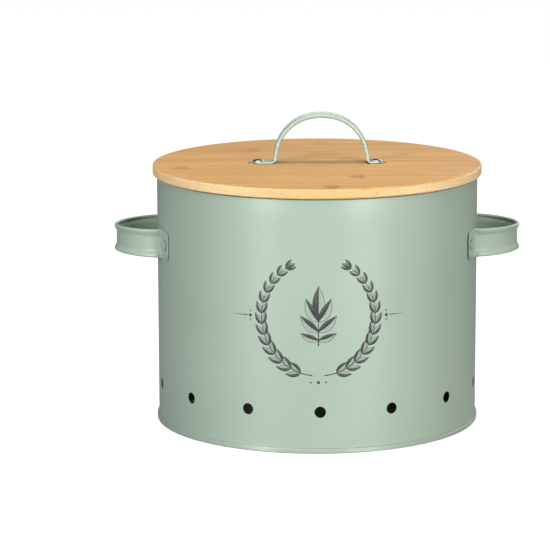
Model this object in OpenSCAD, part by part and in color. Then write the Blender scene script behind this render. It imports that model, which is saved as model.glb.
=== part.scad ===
// Potato storage bin: a painted sheet-steel drum with vent holes, two riveted
// strip handles and a loose bamboo lid with a strip handle of its own.
// Millimetres, +Z up. The origin is the middle of the ring that the bin stands on.
// The front of the bin faces -Y and the side handles lie on the X axis.

/* [Drum] */
// Outside diameter of the drum
body_d = 230; // [190:1:280]
// Height of the drum's rolled rim above the ground
body_h = 178.2; // [165:0.1:240]
// Thickness of the drum and base sheet
sheet_t = 0.5; // [0.4:0.05:0.55]
// Diameter of the curl that is rolled inwards round the rim
rim_curl_d = 2.4; // [1.8:0.1:3]
// Width of the overlap where the sheet's two ends are joined, at the back
lap_w = 6; // [4:0.5:12]
// Width of the fine groove along the edge of that overlap
lap_groove_w = 0.4; // [0.2:0.1:0.8]
// Depth of the fine groove along the edge of that overlap
lap_groove_t = 0.15; // [0.05:0.05:0.25]

/* [Base] */
// Height of the base seam ring
seam_h = 3.5; // [3:0.1:6]
// How far the seam ring stands out from the drum
seam_out = 1.3; // [1.25:0.05:2]
// Height of the base panel's underside above the ground
panel_z = 3.2; // [2:0.1:8]
// Depth that the middle of the base panel is pressed down
panel_step = 1; // [0.5:0.1:1.8]
// Width of the plain border between the seam ring and the pressed middle
panel_border = 18; // [10:1:30]
// Slack between sheets that are folded together or painted over
seam_gap = 0.05; // [0.03:0.01:0.1]

/* [Vent holes] */
// Number of vent holes round the drum
vent_count = 14; // [8:2:20]
// Diameter of a vent hole
vent_d = 8; // [5:0.5:12]
// Height of the row of vent holes
vent_z = 29.3; // [20:0.1:60]

/* [Handle strip] */
// Thickness of the strip that all three handles are bent from
strip_t = 0.7; // [0.5:0.05:0.8]
// Flat between the curl and the flared step beside it
curl_land = 0.8; // [0.4:0.1:1.2]
// Width of the sloping step beside the curl
flare_run = 2.2; // [1:0.1:2.4]

/* [Side handles] */
// Height of the strip of the side handles
side_strip_w = 19.5; // [15:0.5:26]
// Height of the middle of the side handles
side_z = 132.5; // [80:0.1:140]
// Distance from the drum's side to the inside of the loop's tip
loop_reach = 28.8; // [25:0.1:32]
// Inside radius of the loop's tip
tip_r = 21.8; // [19:0.1:24]
// Angle from the middle of the tip to where the loop's sides begin
tip_angle = 25; // [20:1:30]
// Inside radius of the loop's sides
side_r = 37.8; // [35:0.1:42]
// Diameter of the curl along each edge of the strip
side_curl_d = 2; // [1.8:0.1:2.6]
// How far the strip's edges step outwards before they curl
side_flare = 0.2; // [0.1:0.1:0.6]
// Inside radius of the bend where the loop turns into a tab
side_bend_r = 2; // [1:0.5:4]
// Length of the tab that lies on the drum
side_tab_l = 14.5; // [12:0.5:18]
// Corner radius of the tab
side_tab_corner = 4; // [1:0.5:5]

/* [Rivets] */
// Diameter of the rivet's domed head
rivet_head_d = 7; // [5:0.5:8]
// Height of the rivet's domed head
rivet_head_h = 1.4; // [1:0.1:2]
// Diameter of the rivet's shank
rivet_d = 3; // [2.5:0.5:4]
// Diameter of the rivet's closed end inside the drum
rivet_tail_d = 5; // [4.5:0.5:7]
// Height of the rivet's closed end inside the drum
rivet_tail_h = 1.2; // [0.8:0.1:2]

/* [Lid] */
// Diameter of the bamboo lid
lid_d = 236; // [232:0.5:244]
// Thickness of the lid's edge
lid_t = 7; // [5:0.5:12]
// Radius of the lid's rounded edges
lid_edge_r = 1.2; // [0.5:0.1:2]
// Thickness of the step under the lid that drops into the drum
plug_t = 5; // [3:0.5:8]
// Bevel round the bottom of that step
plug_bevel = 0.8; // [0.4:0.1:1.5]
// Slack between that step and the drum's rim
plug_gap = 1; // [0.5:0.1:2]
// Slack between the lid and the rim that carries it
lid_gap = 0.3; // [0.2:0.05:0.5]

/* [Lid handle] */
// Width of the strip of the lid handle
lid_strip_w = 14.5; // [13:0.5:20]
// Height of the handle's top above the lid
arch_rise = 36; // [32:0.5:45]
// Inside radius of the handle's crown
crown_r = 40; // [36:0.5:50]
// Angle from the top to the end of the crown
crown_angle = 11; // [5:0.5:15]
// Inside radius of the handle's shoulders
shoulder_r = 29; // [26:0.5:31]
// Angle by which the legs spread
leg_splay = 12; // [6:0.5:16]
// Diameter of the curl along each edge of the strip
lid_curl_d = 3; // [2:0.1:3.4]
// How far the strip's edges step outwards before they curl
lid_flare = 0.1; // [0.1:0.1:0.4]
// Inside radius of the bend at each foot
foot_r = 2.25; // [1:0.25:2.25]
// How far the arch sits right of the middle between its screws
arch_shift = 3; // [0:0.25:3]
// Distance from the screw to the rounded end of the tab
lid_tab_end = 6.6; // [5.5:0.1:8]

/* [Lid screws] */
// Distance between the two screws
screw_pitch = 84.6; // [84:0.2:100]
// Diameter of the screw's domed head
screw_head_d = 8.5; // [7:0.5:8.5]
// Height of the screw's domed head
screw_head_h = 2; // [1.5:0.1:3]
// Height of the straight rim below the dome
head_rim_h = 0.4; // [0.2:0.1:0.8]
// Diameter of the screw
screw_d = 4; // [3:0.5:5]
// Outside diameter of the washer
washer_d = 9; // [8:0.5:12]
// Thickness of the washer
washer_t = 0.8; // [0.5:0.1:1.5]
// Width across the flats of the nut
nut_w = 7; // [6.5:0.5:8]
// Height of the nut
nut_h = 3.2; // [2:0.2:5]
// Length of screw that shows below the nut
screw_end = 1.2; // [0.5:0.1:3]
// Slack round a rivet or a screw in its hole
hole_gap = 0.2; // [0.1:0.05:0.3]
// Slack between the screw and its nut
thread_gap = 0.05; // [0.03:0.01:0.1]

/* [Hidden] */
$fn = 128;
// Amount by which a cutter reaches past what it cuts
over = 1;

sage = [0.66, 0.74, 0.67];
sage_dark = [0.58, 0.66, 0.59];
bamboo = [0.85, 0.66, 0.45];
steel = [0.78, 0.78, 0.77];

body_r = body_d / 2;
wall_in_r = body_r - sheet_t;

// The rim curl starts where the wall ends, level with the curl's middle
wall_top = body_h - rim_curl_d / 2;
rim_in_r = body_r - rim_curl_d;

// Base seam, from the drum's wall outwards: a folded hook of the drum, then the
// edge of the base plate that wraps round it
ring_r = body_r + seam_out;
hook_out_r = ring_r - sheet_t - seam_gap;
hook_in_r = hook_out_r - sheet_t;
hook_z = sheet_t + seam_gap;
chuck_out_r = wall_in_r - seam_gap;
chuck_in_r = chuck_out_r - sheet_t;
panel_step_r = chuck_in_r - panel_border;
panel_mid_z = panel_z - panel_step;

// The curl is closed for all but this angle
curl_open = 60;
// Where one length of strip runs on inside the next, so that the two are one
// solid, it is this much smaller all round and this much longer
slip = 0.03;
slip_l = 0.25;

// Side handle, seen from above: tip, side, bend and tab. The tip and the side
// are given by the inner face of the strip
tip_x = body_r + loop_reach - tip_r;
side_x = tip_x - (side_r - tip_r) * cos(tip_angle);
side_y = -(side_r - tip_r) * sin(tip_angle);
side_far = norm([side_x, side_y]);
tab_in_r = body_r + seam_gap;
tab_out_r = tab_in_r + strip_t;
// The bend touches the loop's side and the tab, and that sets its middle
bend_from_side = side_r + strip_t + side_bend_r;
bend_far = tab_out_r + side_bend_r;
bend_cos = (pow(side_far, 2) + pow(bend_far, 2) - pow(bend_from_side, 2)) / (2 * side_far * bend_far);
bend_angle = atan2(side_y, side_x) + acos(bend_cos);
bend_x = bend_far * cos(bend_angle);
bend_y = bend_far * sin(bend_angle);
side_end_angle = atan2(bend_y - side_y, bend_x - side_x);
tab_angle = side_tab_l / tab_in_r * 180 / PI;
rivet_angle = bend_angle + tab_angle / 2;
// Straight-line distance from the rivet to the tab's end
tab_half_l = tab_out_r * sin(tab_angle / 2);
// The closed end of a rivet sits where its edge just meets the curved wall
tail_x = sqrt(pow(wall_in_r, 2) - pow(rivet_tail_d / 2, 2)) - seam_gap;

lid_r = lid_d / 2;
lid_z = body_h + lid_gap;
lid_top = lid_z + lid_t;
plug_r = rim_in_r - plug_gap;
plug_z = lid_z - plug_t;

// Lid handle, seen from the front: crown, shoulder, leg, foot and tab, each
// given by the inner face of the strip
section_out = lid_flare + lid_curl_d;
crown_z = lid_top + arch_rise - section_out - crown_r;
shoulder_x = (crown_r - shoulder_r) * sin(crown_angle);
shoulder_z = crown_z + (crown_r - shoulder_r) * cos(crown_angle);
leg_x = shoulder_x + shoulder_r * cos(leg_splay);
leg_z = shoulder_z + shoulder_r * sin(leg_splay);
foot_out_r = foot_r + strip_t;
foot_z = lid_top + foot_out_r;
leg_end_z = foot_z - foot_out_r * sin(leg_splay);
leg_l = (leg_z - leg_end_z) / cos(leg_splay);
foot_x = leg_x + leg_l * sin(leg_splay) + foot_out_r * cos(leg_splay);
screw_x = screw_pitch / 2;
tab_top = lid_top + strip_t;
nut_z = plug_z - washer_t - nut_h;

// Radius of the sphere that gives a dome of this width and height
function dome_r(width, height) = (pow(width / 2, 2) + pow(height, 2)) / (2 * height);

// A quarter of a disc, in the corner where x and y are positive
module quarter_disc(r) {
    intersection() {
        circle(r = r);
        square(r);
    }
}

// Half the outline of a domed head, standing on the x axis beside the y axis
module dome_profile(width, height, rim) {
    r = dome_r(width, height - rim);
    square([width / 2, rim]);
    translate([0, rim])
        intersection() {
            translate([0, height - rim - r])
                circle(r = r);
            square([width / 2, height]);
        }
}

// A rolled edge, cut across: it starts on the positive x axis and turns
// anticlockwise until a gap is left
module curl_profile(d, t, open) {
    difference() {
        circle(d = d);
        circle(d = d - 2 * t);
        polygon([[0, 0], [d, 0], [d, -d], [d * cos(open), -d * sin(open)]]);
    }
}

// The handle strip, cut across: x is away from the hand, y along the width.
// Every face can be set back by the same amount
module strip_profile(width, flare, curl_d, back = 0) {
    curl_y = width / 2 - curl_d / 2;
    step_out_y = width / 2 - curl_d - curl_land;
    step_in_y = step_out_y - flare_run;
    near = back;
    far = strip_t - back;
    polygon([
        [near, -step_in_y],
        [flare + near, -step_out_y],
        [flare + near, -curl_y],
        [flare + far, -curl_y],
        [flare + far, -step_out_y],
        [far, -step_in_y],
        [far, step_in_y],
        [flare + far, step_out_y],
        [flare + far, curl_y],
        [flare + near, curl_y],
        [flare + near, step_out_y],
        [near, step_in_y]
    ]);
    for (side = [0, 1])
        mirror([0, side])
            translate([flare + curl_d / 2, curl_y])
                mirror([1, 0])
                    curl_profile(
                        curl_d - 2 * back,
                        strip_t - 2 * back,
                        curl_open + back / curl_d * 360
                    );
}

// The strip where it is pressed flat, at a distance from an axis
module flat_profile(near, width, back = 0) {
    translate([near + back, back - width / 2])
        square([strip_t - 2 * back, width - 2 * back]);
}

// Puts its children on the drum's outside, at an angle from the side axis, with
// their z axis pointing straight out
module on_drum(angle, z) {
    rotate([0, 0, angle])
        translate([0, 0, z])
            rotate([0, 90, 0])
                children();
}

module body_shell() {
    color(sage)
    difference() {
        union() {
            rotate_extrude() {
                polygon([
                    [wall_in_r, hook_z],
                    [hook_out_r, hook_z],
                    [hook_out_r, seam_h - hook_z],
                    [hook_in_r, seam_h - hook_z],
                    [hook_in_r, hook_z + sheet_t],
                    [body_r, hook_z + sheet_t],
                    [body_r, wall_top],
                    [wall_in_r, wall_top]
                ]);
                translate([body_r - rim_curl_d / 2, wall_top])
                    curl_profile(rim_curl_d, sheet_t, curl_open);
            }
            inner_lap();
        }
        vent_holes();
        for (side = [0, 180])
            for (turn = [-rivet_angle, rivet_angle])
                on_drum(side + turn, side_z)
                    cylinder(h = body_r + over, d = rivet_d + 2 * hole_gap);
        lap_groove();
    }
}

// The sheet's inner end, which lies behind the outer one and is welded to it
module inner_lap() {
    lap_angle = lap_w / wall_in_r * 180 / PI;
    lap_foot = panel_z + 2 * sheet_t + over;
    rotate([0, 0, 90 - lap_angle / 2])
        rotate_extrude(angle = lap_angle)
            translate([wall_in_r - sheet_t, lap_foot])
                square([1.5 * sheet_t, wall_top - rim_curl_d - lap_foot]);
}

// The line that the sheet's outer end draws down the back
module lap_groove() {
    foot = seam_h + over;
    translate([lap_w / 2, body_r - lap_groove_t, foot])
        cube([lap_groove_w, lap_groove_t + over, wall_top - rim_curl_d - foot]);
}

// One hole is at the middle of the front
module vent_holes() {
    for (i = [0 : vent_count - 1])
        on_drum(-90 + i * 360 / vent_count, vent_z)
            translate([0, 0, body_r - 5 * over])
                cylinder(h = 6 * over, d = vent_d);
}

module base_plate() {
    color(sage_dark)
    rotate_extrude() {
        polygon([
            [0, panel_mid_z],
            [panel_step_r - panel_step, panel_mid_z],
            [panel_step_r, panel_z],
            [chuck_in_r, panel_z],
            [chuck_in_r, 0],
            [ring_r - sheet_t, 0],
            [ring_r - sheet_t, sheet_t],
            [chuck_out_r, sheet_t],
            [chuck_out_r, panel_z + sheet_t],
            [panel_step_r, panel_z + sheet_t],
            [panel_step_r - panel_step, panel_mid_z + sheet_t],
            [0, panel_mid_z + sheet_t]
        ]);
        translate([ring_r - sheet_t, sheet_t])
            square([sheet_t, seam_h - 2 * sheet_t]);
        translate([body_r + seam_gap, seam_h - sheet_t])
            square([seam_out - seam_gap - sheet_t, sheet_t]);
        translate([ring_r - sheet_t, sheet_t])
            mirror([0, 1])
                quarter_disc(sheet_t);
        translate([ring_r - sheet_t, seam_h - sheet_t])
            quarter_disc(sheet_t);
    }
}

// A whole handle on the +X side
module side_handle() {
    translate([tip_x, 0, side_z])
        rotate([0, 0, -tip_angle])
            rotate_extrude(angle = 2 * tip_angle)
                translate([tip_r, 0])
                    strip_profile(side_strip_w, side_flare, side_curl_d);
    for (side = [0, 1])
        mirror([0, side, 0]) {
            loop_side();
            side_tab();
        }
}

module loop_side() {
    slip_angle = slip_l / side_r * 180 / PI;
    translate([side_x, side_y, side_z])
        rotate([0, 0, tip_angle - slip_angle])
            rotate_extrude(angle = side_end_angle - tip_angle + 2 * slip_angle)
                translate([side_r, 0])
                    strip_profile(side_strip_w, side_flare, side_curl_d, slip);
}

module side_tab() {
    slip_angle = slip_l / tab_in_r * 180 / PI;
    translate([bend_x, bend_y, side_z])
        rotate([0, 0, 180 + bend_angle])
            rotate_extrude(angle = side_end_angle - bend_angle)
                flat_profile(side_bend_r, side_strip_w);
    difference() {
        translate([0, 0, side_z])
            rotate([0, 0, bend_angle - slip_angle])
                rotate_extrude(angle = tab_angle + slip_angle)
                    flat_profile(tab_in_r, side_strip_w, slip);
        on_drum(rivet_angle, side_z) {
            cylinder(h = body_r + 5 * over, d = rivet_d + 2 * hole_gap);
            for (end = [0, 1])
                mirror([end, 0, 0])
                    tab_corner();
        }
    }
}

// What is cut off a corner of a side tab
module tab_corner() {
    translate([
        side_strip_w / 2 - side_tab_corner,
        tab_half_l - side_tab_corner,
        body_r - 5 * over
    ])
        linear_extrude(10 * over)
            difference() {
                square(side_tab_corner + over);
                circle(r = side_tab_corner);
            }
}

module left_side_handle() {
    color(sage)
        mirror([1, 0, 0])
            side_handle();
}

module right_side_handle() {
    color(sage)
        side_handle();
}

// A rivet through a tab and the drum, at an angle from the +X axis
module rivet(angle) {
    color(sage)
    on_drum(angle, side_z)
        rotate_extrude() {
            translate([0, tab_out_r])
                dome_profile(rivet_head_d, rivet_head_h, head_rim_h);
            translate([0, tail_x])
                square([rivet_d / 2, tab_out_r - tail_x]);
            translate([0, tail_x])
                mirror([0, 1])
                    dome_profile(rivet_tail_d, rivet_tail_h, head_rim_h);
        }
}

module left_front_rivet() {
    rivet(180 + rivet_angle);
}

module left_rear_rivet() {
    rivet(180 - rivet_angle);
}

module right_front_rivet() {
    rivet(-rivet_angle);
}

module right_rear_rivet() {
    rivet(rivet_angle);
}

module lid_board() {
    color(bamboo)
    difference() {
        rotate_extrude() {
            translate([0, lid_z])
                square([lid_r - lid_edge_r, lid_t]);
            translate([lid_r - lid_edge_r, lid_z + lid_edge_r])
                square([lid_edge_r, lid_t - 2 * lid_edge_r]);
            translate([lid_r - lid_edge_r, lid_top - lid_edge_r])
                quarter_disc(lid_edge_r);
            translate([lid_r - lid_edge_r, lid_z + lid_edge_r])
                mirror([0, 1])
                    quarter_disc(lid_edge_r);
            polygon([
                [0, plug_z],
                [plug_r - plug_bevel, plug_z],
                [plug_r, plug_z + plug_bevel],
                [plug_r, lid_z],
                [0, lid_z]
            ]);
        }
        for (side = [-1, 1])
            translate([side * screw_x, 0, plug_z - over])
                cylinder(h = plug_t + lid_t + 2 * over, d = screw_d + 2 * hole_gap);
    }
}

// Turns a profile about a line along Y: its x axis starts at the given angle
// above the X axis and swings up by the sweep, its y axis runs along the width
module swing(x, z, start, sweep) {
    translate([x, 0, z])
        rotate([90, 0, 0])
            rotate([0, 0, start])
                rotate_extrude(angle = sweep)
                    children();
}

module crown() {
    swing(0, crown_z, 90 - crown_angle, 2 * crown_angle)
        translate([crown_r, 0])
            strip_profile(lid_strip_w, lid_flare, lid_curl_d);
}

// What follows the crown on the +X side of the arch's middle. The tab ends at a
// distance from that middle
module arch_side(tab_end) {
    shoulder_slip = slip_l / shoulder_r * 180 / PI;
    foot_slip = slip_l / foot_out_r * 180 / PI;
    shoulder_sweep = 90 - crown_angle - leg_splay;
    swing(shoulder_x, shoulder_z, leg_splay - shoulder_slip, shoulder_sweep + 2 * shoulder_slip)
        translate([shoulder_r, 0])
            strip_profile(lid_strip_w, lid_flare, lid_curl_d, slip);
    translate([leg_x, 0, leg_z])
        rotate([180, leg_splay, 180])
            linear_extrude(leg_l)
                mirror([1, 0])
                    strip_profile(lid_strip_w, lid_flare, lid_curl_d);
    swing(foot_x, foot_z, 180 + leg_splay - foot_slip, 90 - leg_splay + 2 * foot_slip)
        flat_profile(foot_r, lid_strip_w, slip);
    translate([foot_x, 0, lid_top])
        linear_extrude(strip_t)
            intersection() {
                translate([0, -lid_strip_w / 2])
                    square([tab_end - foot_x, lid_strip_w]);
                union() {
                    translate([0, -lid_strip_w / 2])
                        square([tab_end - foot_x - lid_strip_w / 2, lid_strip_w]);
                    translate([tab_end - foot_x - lid_strip_w / 2, 0])
                        circle(d = lid_strip_w);
                }
            }
}

module lid_handle() {
    color(sage)
    difference() {
        translate([arch_shift, 0, 0]) {
            crown();
            arch_side(screw_x + lid_tab_end - arch_shift);
            mirror([1, 0, 0])
                arch_side(screw_x + lid_tab_end + arch_shift);
        }
        for (side = [-1, 1])
            translate([side * screw_x, 0, lid_top - over])
                cylinder(h = strip_t + 2 * over, d = screw_d + 2 * hole_gap);
    }
}

// A domed screw through the lid handle's tab and the board
module lid_screw(side) {
    shank_z = nut_z - screw_end;
    color(steel)
    translate([side * screw_x, 0, 0])
        rotate_extrude() {
            translate([0, tab_top])
                dome_profile(screw_head_d, screw_head_h, head_rim_h);
            translate([0, shank_z])
                square([screw_d / 2, tab_top - shank_z]);
        }
}

module left_lid_screw() {
    lid_screw(-1);
}

module right_lid_screw() {
    lid_screw(1);
}

module lid_washer(side) {
    color(steel)
    translate([side * screw_x, 0, plug_z - washer_t])
        difference() {
            cylinder(h = washer_t, d = washer_d);
            translate([0, 0, -over])
                cylinder(h = washer_t + 2 * over, d = screw_d + 2 * hole_gap);
        }
}

module left_lid_washer() {
    lid_washer(-1);
}

module right_lid_washer() {
    lid_washer(1);
}

// A hexagon nut whose corners are turned off by a shallow cone at each face
module lid_nut(side) {
    corner_d = nut_w / cos(30);
    color(steel)
    translate([side * screw_x, 0, nut_z])
        difference() {
            intersection() {
                cylinder(h = nut_h, d = corner_d, $fn = 6);
                rotate_extrude()
                    polygon([
                        [0, 0],
                        [nut_w / 2, 0],
                        [corner_d / 2, (corner_d - nut_w) / 4],
                        [corner_d / 2, nut_h - (corner_d - nut_w) / 4],
                        [nut_w / 2, nut_h],
                        [0, nut_h]
                    ]);
            }
            translate([0, 0, -over])
                cylinder(h = nut_h + 2 * over, d = screw_d + 2 * thread_gap);
        }
}

module left_lid_nut() {
    lid_nut(-1);
}

module right_lid_nut() {
    lid_nut(1);
}

body_shell();
base_plate();
left_side_handle();
right_side_handle();
left_front_rivet();
left_rear_rivet();
right_front_rivet();
right_rear_rivet();
lid_board();
lid_handle();
left_lid_screw();
right_lid_screw();
left_lid_washer();
right_lid_washer();
left_lid_nut();
right_lid_nut();
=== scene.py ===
# %% [markdown]
# # Dressing a potato storage bin
#
# The bin is a drum of painted sheet steel with a bamboo lid. Its construction is
# already settled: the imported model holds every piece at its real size, and this
# script loads it as a frame. What is left is the finish, and the few pieces
# whose form is softer than an exact solid shows: a sheet that was punched and
# then rolled, strip whose edges were curled and pressed, and ink on paint.

# %% Load the frame
import math

import bmesh
import bpy
from mathutils import Matrix, Vector


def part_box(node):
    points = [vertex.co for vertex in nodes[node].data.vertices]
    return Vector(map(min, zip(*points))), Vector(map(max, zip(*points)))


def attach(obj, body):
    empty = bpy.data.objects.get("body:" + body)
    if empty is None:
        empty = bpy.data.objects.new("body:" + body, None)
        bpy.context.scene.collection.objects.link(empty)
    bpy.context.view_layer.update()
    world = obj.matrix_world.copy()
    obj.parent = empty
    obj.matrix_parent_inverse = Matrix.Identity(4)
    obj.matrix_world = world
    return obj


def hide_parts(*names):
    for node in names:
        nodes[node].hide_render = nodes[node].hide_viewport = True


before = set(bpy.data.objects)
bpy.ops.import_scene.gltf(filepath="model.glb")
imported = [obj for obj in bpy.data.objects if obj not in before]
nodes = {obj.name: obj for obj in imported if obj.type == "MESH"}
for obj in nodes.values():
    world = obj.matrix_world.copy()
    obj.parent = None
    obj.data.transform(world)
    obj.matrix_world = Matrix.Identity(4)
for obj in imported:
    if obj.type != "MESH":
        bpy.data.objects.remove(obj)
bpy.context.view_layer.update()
print("nodes in the frame:", len(nodes))

# %% [markdown]
# ## Sizes
#
# Everything is in metres, so a millimetre gets a name. Where the frame can say
# how large something is, it is asked. The rest are the sheet and strip sizes
# that the pieces were made from, which no bounding box shows. Points closer
# together than TOUCH count as one.

# %% Sizes from the frame
MM = 0.001
TOUCH = 0.01 * MM

ring_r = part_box("base_plate")[1].x
rim_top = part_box("body_shell")[1].z
lid_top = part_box("lid_board")[1].z
loop_low, loop_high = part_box("right_side_handle")
arch_low, arch_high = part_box("lid_handle")

seam_out = 1.3 * MM
drum_r = ring_r - seam_out
sheet_t = 0.5 * MM
strip_t = 0.7 * MM
print("drum radius in mm:", round(drum_r / MM, 2), "rim at", round(rim_top / MM, 2))

# %% [markdown]
# ## The camera
#
# The photograph was taken with a long lens from a little above the lid. A long
# lens far away keeps the two sides of the drum almost parallel, so the distance
# matters as much as the angle. The small shift moves the bin right of the
# middle of the frame, where the photograph has it, without turning the camera.

# %% Place the camera
view_distance = 2.086
view_height = 11.28
view_side = -1.06
aim_height = 0.1


def from_centre(distance, side, height):
    """A point at a distance from the middle of the bin, by the angles it is seen under."""
    turn = Matrix.Rotation(math.radians(side), 3, "Z") @ Matrix.Rotation(-math.radians(height), 3, "X")
    return Vector((0, 0, aim_height)) + turn @ Vector((0, -distance, 0))


camera_data = bpy.data.cameras.new("photo_camera")
camera_data.sensor_width = 36
camera_data.lens = 188.6
camera_data.shift_x = -0.0766
camera_data.shift_y = 0.0076
camera = bpy.data.objects.new("photo_camera", camera_data)
camera.location = from_centre(view_distance, view_side, view_height)
camera.rotation_euler = (math.radians(90 - view_height), 0, math.radians(view_side))
bpy.context.scene.collection.objects.link(camera)
bpy.context.scene.camera = camera
print("camera at", [round(value, 3) for value in camera.location])

# %% [markdown]
# ## The studio
#
# The photograph shows two soft highlights, a little left and right of the
# drum's middle, that run from rim to base. Each is the reflection of a tall
# softbox. On an upright cylinder a highlight lies halfway between the camera
# and its light, so a highlight at 20 degrees round the drum needs a softbox at
# about 40. A softbox is brighter in its middle than at its sides, so each one is
# built of narrow panels side by side, with their own power. The light from the
# right is a little warmer. Overhead a broad panel lights the lid and a narrow
# strip draws the handle's shadow on it. A panel in front, a window behind and a
# low backdrop fill in what the handles and the screws mirror. The photograph was
# developed with a plain curve, so the colours are shown by the plain view
# transform, without a film look.

# %% Set up the lights
bpy.context.scene.view_settings.view_transform = "Standard"


def softbox(name, side, height, distance, size, power):
    """A rectangular studio light that faces the bin."""
    data = bpy.data.lights.new(name, "AREA")
    data.shape = "RECTANGLE"
    data.size, data.size_y = size
    data.energy = power
    lamp = bpy.data.objects.new(name, data)
    lamp.location = from_centre(distance, side, height)
    towards_bin = Vector((0, 0, aim_height)) - lamp.location
    lamp.rotation_euler = towards_bin.to_track_quat("-Z", "Y").to_euler()
    lamp.visible_camera = False
    bpy.context.scene.collection.objects.link(lamp)
    return lamp


panel_place = {"height": 12, "distance": 2.6, "size": (0.52, 1.6)}
warm_white = (1.0, 0.99, 0.95)
for side, power in ((-42, 25.5), (-35, 30.5)):
    softbox("left_softbox", side, power=power, **panel_place)
for side, power in ((28, 35.0), (35, 12.0), (42, 16.5)):
    softbox("right_softbox", side, power=power, **panel_place).data.color = warm_white
softbox("top_strip", side=0, height=88, distance=1.5, size=(1.4, 0.2), power=9.3)
softbox("top_panel", side=180, height=80, distance=1.5, size=(1.4, 1.0), power=5.0)
softbox("front_panel", side=0, height=55, distance=1.6, size=(1.4, 0.6), power=5.9)
softbox("rear_window", side=150, height=20, distance=1.6, size=(1.0, 0.5), power=4.0)
softbox("backdrop", side=180, height=12, distance=1.8, size=(2.4, 0.5), power=1.5)

# %% [markdown]
# The air round the bin is white to the camera and nearly dark to everything
# else, so the lights alone shape the bin. The floor is one large face, a hair
# below the bin's foot.

# %% Air and floor
fill_light = 0.03
floor_reach = 9
floor_drop = 0.05 * MM

air = bpy.data.worlds.new("pale_air")
air.use_nodes = True
air_light = air.node_tree.nodes["Background"]
air_light.inputs["Color"].default_value = (1.0, 1.0, 1.0, 1.0)
air_seen = air.node_tree.nodes.new("ShaderNodeLightPath").outputs["Is Camera Ray"]
air_strength = air.node_tree.nodes.new("ShaderNodeMapRange")
air_strength.inputs["To Min"].default_value = fill_light
air.node_tree.links.new(air_seen, air_strength.inputs["Value"])
air.node_tree.links.new(air_strength.outputs["Result"], air_light.inputs["Strength"])
bpy.context.scene.world = air

floor_mesh = bpy.data.meshes.new("floor")
floor_shape = bmesh.new()
bmesh.ops.create_grid(floor_shape, x_segments=1, y_segments=1, size=floor_reach)
bmesh.ops.translate(floor_shape, vec=(0, 0, -floor_drop), verts=floor_shape.verts)
floor_shape.to_mesh(floor_mesh)
floor_shape.free()
floor = bpy.data.objects.new("floor", floor_mesh)
bpy.context.scene.collection.objects.link(floor)
print("the floor reaches", floor_reach, "m from the bin")

# %% [markdown]
# ## Building materials from nodes
#
# Every finish starts from the same shader, and its colour, roughness and relief
# come from noise that is read in the object's own coordinates, in metres. A
# scale of 700 is then a pattern with about 700 swells to the metre. A few short
# helpers keep each material readable.

# %% Material helpers


def start_material(name, roughness, metallic=0.0):
    """A new material, with its node tree and its shader."""
    material = bpy.data.materials.new(name)
    material.use_nodes = True
    tree = material.node_tree
    shader = tree.nodes["Principled BSDF"]
    shader.inputs["Roughness"].default_value = roughness
    shader.inputs["Metallic"].default_value = metallic
    return material, tree, shader


def place(tree):
    """The point on the object, in metres."""
    return tree.nodes.new("ShaderNodeTexCoord").outputs["Object"]


def stretch(tree, point, scale, shift=(0, 0, 0)):
    """The same point, with each axis scaled by itself."""
    node = tree.nodes.new("ShaderNodeMapping")
    node.inputs["Scale"].default_value = scale
    node.inputs["Location"].default_value = shift
    tree.links.new(point, node.inputs["Vector"])
    return node.outputs["Vector"]


def noise(tree, point, scale, detail=3.0):
    """Soft random swells between 0 and 1."""
    node = tree.nodes.new("ShaderNodeTexNoise")
    node.inputs["Scale"].default_value = scale
    node.inputs["Detail"].default_value = detail
    tree.links.new(point, node.inputs["Vector"])
    return node.outputs["Fac"]


def spread(tree, value, low, high, to_low=0.0, to_high=1.0):
    """Maps a range smoothly to another one. It may run backwards, and what lies outside is clipped."""
    node = tree.nodes.new("ShaderNodeMapRange")
    node.interpolation_type = "SMOOTHSTEP"
    for key, number in zip(("From Min", "From Max", "To Min", "To Max"), (low, high, to_low, to_high)):
        node.inputs[key].default_value = number
    tree.links.new(value, node.inputs["Value"])
    return node.outputs["Result"]


def calculate(tree, operation, first, second=0.0):
    """One step of arithmetic on two numbers or sockets."""
    node = tree.nodes.new("ShaderNodeMath")
    node.operation = operation
    for slot, value in zip(node.inputs, (first, second)):
        if isinstance(value, (int, float)):
            slot.default_value = value
        else:
            tree.links.new(value, slot)
    return node.outputs["Value"]


def times(tree, first, second):
    """The product of two numbers or sockets."""
    return calculate(tree, "MULTIPLY", first, second)


def split(tree, vector):
    """The three numbers of a vector, by their letters."""
    node = tree.nodes.new("ShaderNodeSeparateXYZ")
    tree.links.new(vector, node.inputs["Vector"])
    return node.outputs


def length_of(tree, vector):
    """How long a vector is."""
    node = tree.nodes.new("ShaderNodeVectorMath")
    node.operation = "LENGTH"
    tree.links.new(vector, node.inputs[0])
    return node.outputs["Value"]


def blend(tree, amount, first, second):
    """A colour between two others: the first at 0 and the second at 1."""
    node = tree.nodes.new("ShaderNodeMix")
    node.data_type = "RGBA"
    tree.links.new(amount, node.inputs["Factor"])
    for key, colour in (("A", first), ("B", second)):
        slot = [item for item in node.inputs if item.name == key and item.type == "RGBA"][0]
        if isinstance(colour, tuple):
            slot.default_value = (*colour, 1.0)
        else:
            tree.links.new(colour, slot)
    return [item for item in node.outputs if item.type == "RGBA"][0]


def openness(tree):
    """1 on an open surface, and less in a crevice that is a few millimetres wide."""
    node = tree.nodes.new("ShaderNodeAmbientOcclusion")
    node.samples = 8
    node.inputs["Distance"].default_value = 2.5 * MM
    return node.outputs["AO"]


def relief(tree, shader, height, depth):
    """Small relief on the surface: the height is from 0 to 1, the depth in metres."""
    node = tree.nodes.new("ShaderNodeBump")
    node.inputs["Strength"].default_value = 1.0
    node.inputs["Distance"].default_value = depth
    tree.links.new(height, node.inputs["Height"])
    tree.links.new(node.outputs["Normal"], shader.inputs["Normal"])


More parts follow.
